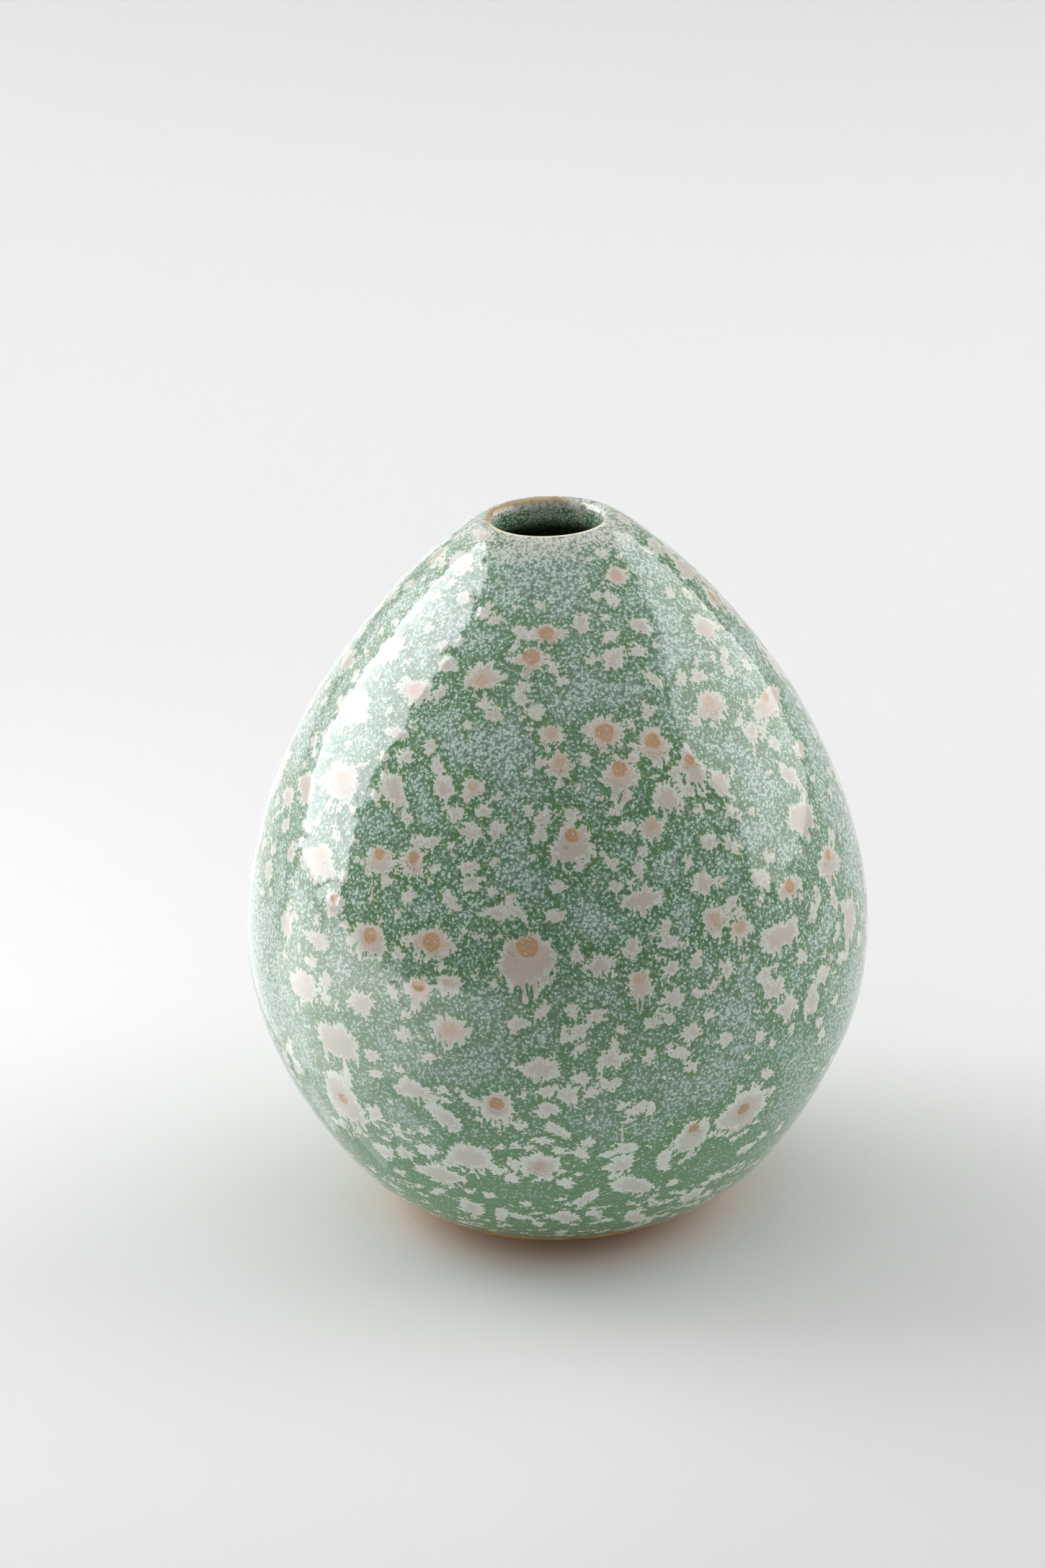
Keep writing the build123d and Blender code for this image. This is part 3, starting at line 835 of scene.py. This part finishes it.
    # ---- amber seeds
    seed = k.xyz(k.attr("seed", "Vector"))
    reach = k.m("ABSOLUTE", seed[2])
    away = k.m("SQRT", k.m("ADD", k.m("MULTIPLY", seed[0], seed[0]), k.m("MULTIPLY", seed[1], seed[1])))
    away = k.add(away, k.centred(n_small, 0.8), k.centred(fine_rand[0], 0.12))
    strong = k.step(seed[2], -0.1, 0.1)
    disc = k.step(k.m("SUBTRACT", reach, away), -0.15, 0.20)
    blush = k.step(k.m("SUBTRACT", k.m("MULTIPLY", reach, 2.2), away), 0.0, 1.1)
    on = k.step(inside, 0.0, 0.3)
    amber = k.mix(k.step(n_small, 0.3, 0.7), rgb(174, 134, 96), rgb(182, 152, 122))
    amber = k.mix(k.m("MULTIPLY", k.step(k.m("SUBTRACT", reach, away), 0.45, 0.05), 0.35), amber, rgb(184, 124, 82))
    # painted highlights: tiny near-white glints in the amber seeds
    seed_glint_cells = k.cells(p, 2.6)
    painted_seed_glint = k.m("MULTIPLY", k.step(seed_glint_cells.outputs["Distance"], 0.34, 0.2), k.step(k.xyz(seed_glint_cells.outputs["Color"])[0], 0.74, 0.78))
    amber = k.mix(k.m("MULTIPLY", painted_seed_glint, 0.7), amber, rgb(246, 230, 200))
    colour = k.mix(k.mul(blush, on, 0.35), colour, rgb(204, 178, 160))
    colour = k.mix(k.mul(disc, on, k.ramp(strong, 0, 1, 0.40, 0.92)), colour, amber)
    worm = k.m("ABSOLUTE", k.centred(k.noise(p, 1.5, 1.0), 1.0))
    worm = k.m("MULTIPLY", k.step(worm, 0.035, 0.012), k.step(k.m("ABSOLUTE", k.add(away, k.m("MULTIPLY", reach, -1.7))), 0.9, 0.2))
    worm = k.mul(worm, k.step(seed[1], -0.3, -1.0), on, k.step(n_zone, 0.45, 0.55))
    colour = k.mix(k.m("MULTIPLY", worm, 0.8), colour, rgb(120, 112, 66))

    # the coat thins to toasted amber over the clay just above the foot
    thin = k.step(k.add(z, k.centred(n_mid, 3.0), k.centred(n_small, 1.0)), 5.8, 3.5)
    toast = k.mix(k.step(n_small, 0.35, 0.65), rgb(232, 182, 84), rgb(220, 160, 66))
    colour = k.mix(k.m("MULTIPLY", thin, 0.92), colour, toast)

    colour = lip_tint_and_highlight(k, p, colour, rim, n_small, n_mid)
    k.put(k.bsdf.inputs["Base Color"], colour)

    rough = k.m("MULTIPLY_ADD", petal, 0.02, 0.045)
    rough = k.m("MULTIPLY_ADD", n_mid, 0.03, rough)
    k.put(k.bsdf.inputs["Roughness"], rough)
    k.bsdf.inputs["IOR"].default_value = 1.52
    height = k.add(k.m("MULTIPLY", fleck, 0.25), k.m("MULTIPLY", petal, 0.6), k.centred(n_mid, 0.8), k.m("MULTIPLY", pit, -0.6))
    k.put(k.bsdf.inputs["Normal"], k.bump(height, 0.010, 0.5))
    return k.mat


def liner_glaze():
    """The coat inside: finer and duller, granular green over grey, with painted shade darkening it with depth down the
    neck.
    """
    k = Net("granular_liner_glaze")
    p = k.place()
    rim = k.attr("rim")
    down = k.m("SUBTRACT", rim, 4.3)
    warp = k.v("ADD", p, k.scaled(k.v("SUBTRACT", k.noise(p, 1.2, 2.0, colour=True), (0.5, 0.5, 0.5)), 0.9))
    grain = k.cells(warp, 1.9)
    edge = k.cells(warp, 1.9, "DISTANCE_TO_EDGE").outputs["Distance"]
    zone = k.noise(p, 0.30, 2.0)
    mid = k.noise(p, 0.60, 3.0, 0.55)
    tiny = k.noise(p, 2.1, 2.0)
    gap = k.add(k.ramp(zone, 0.38, 0.66, 0.06, 0.20), k.centred(tiny, 0.15))
    fleck = k.step(edge, k.m("SUBTRACT", gap, 0.05), k.m("ADD", gap, 0.05))
    ground = k.mix(k.step(zone, 0.35, 0.65), rgb(104, 140, 112), rgb(74, 126, 84))
    pale = k.mix(k.xyz(grain.outputs["Color"])[0], rgb(176, 192, 176), rgb(204, 212, 200))
    colour = k.mix(fleck, ground, pale)
    colour = lip_tint_and_highlight(k, p, colour, rim, tiny, mid)
    # painted shade: the coat darkens towards dull olive with depth inside the neck
    colour = k.mix(k.ramp(down, 2.5, 14.0, 0.0, 0.75), colour, rgb(96, 96, 74))
    k.put(k.bsdf.inputs["Base Color"], colour)
    k.put(k.bsdf.inputs["Roughness"], k.m("MULTIPLY_ADD", tiny, 0.10, 0.08))
    k.bsdf.inputs["IOR"].default_value = 1.5
    k.put(k.bsdf.inputs["Normal"], k.bump(k.add(k.m("MULTIPLY", fleck, 0.4), tiny), 0.012, 0.5))
    return k.mat


def bare_clay():
    """Toasted stoneware: warm tan, iron specks, fine sandy tooth, turning lines, a darker flash by the glaze."""
    k = Net("toasted_stoneware")
    p = k.place()
    x, y, z = k.xyz(p)
    r = k.m("SQRT", k.m("ADD", k.m("MULTIPLY", x, x), k.m("MULTIPLY", y, y)))
    broad = k.noise(p, 0.12, 3.0, 0.55)
    sand = k.noise(p, 2.4, 4.0, 0.6)
    turn = k.node("ShaderNodeCombineXYZ")
    k.put(turn.inputs[0], k.m("MULTIPLY", r, 2.6))
    k.put(turn.inputs[1], k.m("MULTIPLY", z, 1.6))
    lines = k.noise(turn.outputs[0], 1.0, 3.0, 0.6)
    colour = k.mix(k.step(broad, 0.3, 0.7), rgb(240, 184, 98), rgb(230, 164, 76))
    colour = k.mix(k.m("MULTIPLY", k.step(sand, 0.45, 0.75), 0.35), colour, rgb(244, 186, 122))
    colour = k.mix(k.m("MULTIPLY", k.step(lines, 0.5, 0.72), 0.30), colour, rgb(204, 118, 56))
    flash = k.step(k.add(r, k.centred(broad, 2.0)), 21.6, 24.4)
    colour = k.mix(k.m("MULTIPLY", flash, 0.6), colour, rgb(216, 138, 54))
    iron = k.cells(p, 0.55)
    speck = k.m("MULTIPLY", k.step(iron.outputs["Distance"], 0.17, 0.08), k.step(k.xyz(iron.outputs["Color"])[0], 0.55, 0.6))
    colour = k.mix(k.m("MULTIPLY", speck, 0.8), colour, rgb(92, 62, 44))
    k.put(k.bsdf.inputs["Base Color"], colour)
    k.put(k.bsdf.inputs["Roughness"], k.ramp(sand, 0.3, 0.7, 0.72, 0.9))
    k.bsdf.inputs["IOR"].default_value = 1.45
    k.bsdf.inputs["Specular IOR Level"].default_value = 0.35
    k.put(k.bsdf.inputs["Normal"], k.bump(k.add(sand, k.m("MULTIPLY", lines, 0.8), k.m("MULTIPLY", speck, -0.5)), 0.06, 0.6))
    return k.mat


CELL = 1.85   # small crystals per millimetre
glaze_mat, liner_mat, clay_mat = reactive_glaze(), liner_glaze(), bare_clay()
outer.data.materials.append(glaze_mat)
lip.data.materials.append(glaze_mat)
liner.data.materials.append(liner_mat)
clay.data.materials.append(clay_mat)

for piece, node in ((outer, "outer_glaze"), (lip, "lip_glaze"), (liner, "liner_glaze"), (clay, "clay_body")):
    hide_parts(node)
    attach(piece, "root")

# ---------------------------------------------------------------- stage, light and camera (metres)
def sweep():
    """One sheet: the table, curving up into the backdrop, its grey graded with painted light and shade."""
    section = [(-4.0, 0.0), (-2.0, 0.0), (-0.6, 0.0), (0.0, 0.0), (0.6, 0.0), (1.2, 0.0)]
    for i in range(1, 17):
        a = i / 16 * math.pi / 2
        section.append((1.2 + 1.1 * math.sin(a), 1.1 - 1.1 * math.cos(a)))
    section.append((2.3, 3.2))
    verts, faces = [], []
    for yy, zz in section:
        verts += [(-4.5, yy, zz - 0.00002), (4.5, yy, zz - 0.00002)]
    for i in range(len(section) - 1):
        faces.append((2 * i, 2 * i + 1, 2 * i + 3, 2 * i + 2))
    mesh = bpy.data.meshes.new("paper_sweep")
    mesh.from_pydata(verts, [], faces)
    mesh.update()
    mesh.polygons.foreach_set("use_smooth", np.ones(len(mesh.polygons), bool))
    obj = bpy.data.objects.new("paper_sweep", mesh)
    bpy.context.scene.collection.objects.link(obj)
    k = Net("paper_with_painted_light")
    p = k.node("ShaderNodeTexCoord").outputs["Object"]
    tooth = k.noise(p, 900.0, 3.0, 0.6)
    sheet = k.mix(k.noise(p, 2.5, 2.0), rgb(215, 215, 215), rgb(212, 212, 212))
    px, py, pz = k.xyz(p)
    # painted light: the paper is lighter to the left of the vase, towards the window
    sheet = k.mix(k.m("MULTIPLY", k.step(px, 0.03, -0.14), k.step(py, 0.30, 0.05)), sheet, rgb(230, 230, 230))
    # painted shade: the paper darkens towards the front
    sheet = k.mix(k.step(py, -0.03, -0.26), sheet, rgb(185, 185, 185))
    # painted shade: further back and up the backdrop the paper is darker, more so to the right
    k.put(k.bsdf.inputs["Base Color"], k.mix(k.step(py, 0.15, 1.4), sheet, k.mix(k.step(px, -0.3, 0.6), rgb(190, 190, 190), rgb(179, 179, 179))))
    k.bsdf.inputs["Roughness"].default_value = 0.9
    k.bsdf.inputs["Specular IOR Level"].default_value = 0.2
    k.put(k.bsdf.inputs["Normal"], k.bump(tooth, 0.12, 0.35))
    obj.data.materials.append(k.mat)
    return obj


sweep()


def area(name, size_x, size_y, place, target, radiance, colour, gloss_only=False):
    """A rectangular soft light with a given radiance, facing target; gloss_only ones are seen in reflections alone."""
    lamp = bpy.data.lights.new(name, "AREA")
    lamp.shape = "RECTANGLE"
    lamp.size, lamp.size_y = size_x, size_y
    lamp.energy = radiance * math.pi * size_x * size_y
    lamp.color = colour
    obj = bpy.data.objects.new(name, lamp)
    obj.location = place
    aim = (Vector(target) - Vector(place)).normalized()
    obj.rotation_euler = aim.to_track_quat("-Z", "Y").to_euler()
    obj.visible_camera = False
    obj.visible_diffuse = not gloss_only
    bpy.context.scene.collection.objects.link(obj)
    return obj


# the window: a tall upright panel to the left, its near edge level with the vase; a low card beside the vase on the
# same side; a paler stretch of wall past the window; a weak soft box at the back right
area("window", 2.70, 3.10, (-2.40, 1.38, 1.56), (0.0, 1.38, 1.56), 4.0, (1.0, 1.0, 1.0))
area("window_glare", 2.70, 3.10, (-2.41, 1.38, 1.56), (0.0, 1.38, 1.56), 3.3, (0.95, 1.0, 1.10), True)
# what the lit table top adds to the reflections low on the left: sheets lying just above the table, running away from
# the vase towards the window, their edges stepped so that no edge shows
lean = math.radians(26.0)
away_x, away_y = -math.cos(lean), math.sin(lean)
for n, (near, far, rear, strength) in enumerate((
    (0.010, 0.50, -0.044, 0.45), (0.024, 0.75, -0.031, 0.45), (0.040, 1.10, -0.018, 0.45),
    (0.080, 2.50, -0.036, 0.60), (0.110, 2.50, -0.024, 0.60), (0.140, 2.50, -0.012, 0.60),
)):
    front = -0.50
    along, across = (near + far) / 2, (rear + front) / 2
    x0 = away_x * along - away_y * away_x / abs(away_x) * across
    y0 = away_y * along + abs(away_x) * across
    sheet = area("table_glare_%d" % n, far - near, rear - front, (x0, y0, 0.0010 + 0.0002 * n), (x0, y0, 1.0), strength, (1.0, 1.0, 1.0), True)
    sheet.rotation_euler = (math.pi, 0.0, -lean)
area("table_glare_wide", 2.32, 2.2, (-1.23, 0.70, 0.0006), (-1.23, 0.70, 1.0), 0.6, (1.0, 1.0, 1.0), True)
area("left_wall", 1.3, 1.7, (-1.25, 1.75, 0.86), (0.0, 0.0, 0.3), 1.2, (1.0, 1.0, 1.0))
area("right_fill", 2.6, 1.7, (1.9, 0.7, 0.86), (0.0, 0.0, 0.05), 2.6, (1.0, 1.0, 1.0))

# the room: dim in front, where the camera stands, brighter behind and above
world = bpy.data.worlds.new("studio")
bpy.context.scene.world = world
world.use_nodes = True
wt = world.node_tree
toward = wt.nodes.new("ShaderNodeSeparateXYZ")
wt.links.new(wt.nodes.new("ShaderNodeTexCoord").outputs["Generated"], toward.inputs[0])
back = wt.nodes.new("ShaderNodeMapRange")
back.interpolation_type = "SMOOTHSTEP"
for i, val in enumerate((-0.80, 0.40, 0.25, 0.70), start=1):
    back.inputs[i].default_value = val
wt.links.new(toward.outputs[1], back.inputs[0])
over = wt.nodes.new("ShaderNodeMapRange")
over.interpolation_type = "SMOOTHSTEP"
for i, val in enumerate((0.50, 0.95, 0.0, 1.0), start=1):
    over.inputs[i].default_value = val
wt.links.new(toward.outputs[2], over.inputs[0])
level = wt.nodes.new("ShaderNodeMix")
wt.links.new(over.outputs[0], level.inputs[0])
wt.links.new(back.outputs[0], level.inputs[2])
level.inputs[3].default_value = 1.02
sky = wt.nodes["Background"]
sky.inputs["Color"].default_value = (1.0, 1.0, 1.0, 1.0)
wt.links.new(level.outputs[0], sky.inputs["Strength"])

cam_data = bpy.data.cameras.new("camera")
cam_data.lens, cam_data.sensor_width, cam_data.sensor_fit = 100.0, 36.0, "AUTO"
cam_data.clip_start, cam_data.clip_end = 0.01, 50.0
cam = bpy.data.objects.new("camera", cam_data)
bpy.context.scene.collection.objects.link(cam)
tilt, turn = math.radians(22.08), math.radians(-1.5367)
ahead = Vector((0, math.cos(tilt), -math.sin(tilt)))
right0, up0 = Vector((1, 0, 0)), Vector((0, math.sin(tilt), math.cos(tilt)))
right1 = right0 * math.cos(turn) + up0 * math.sin(turn)
up1 = up0 * math.cos(turn) - right0 * math.sin(turn)
rot = Matrix((right1, up1, -ahead)).transposed()
cam.matrix_world = Matrix.Translation((-0.004824, -0.617258, 0.318186)) @ rot.to_4x4()
bpy.context.scene.camera = cam
bpy.context.scene.view_settings.view_transform = "Standard"

bpy.context.view_layer.update()
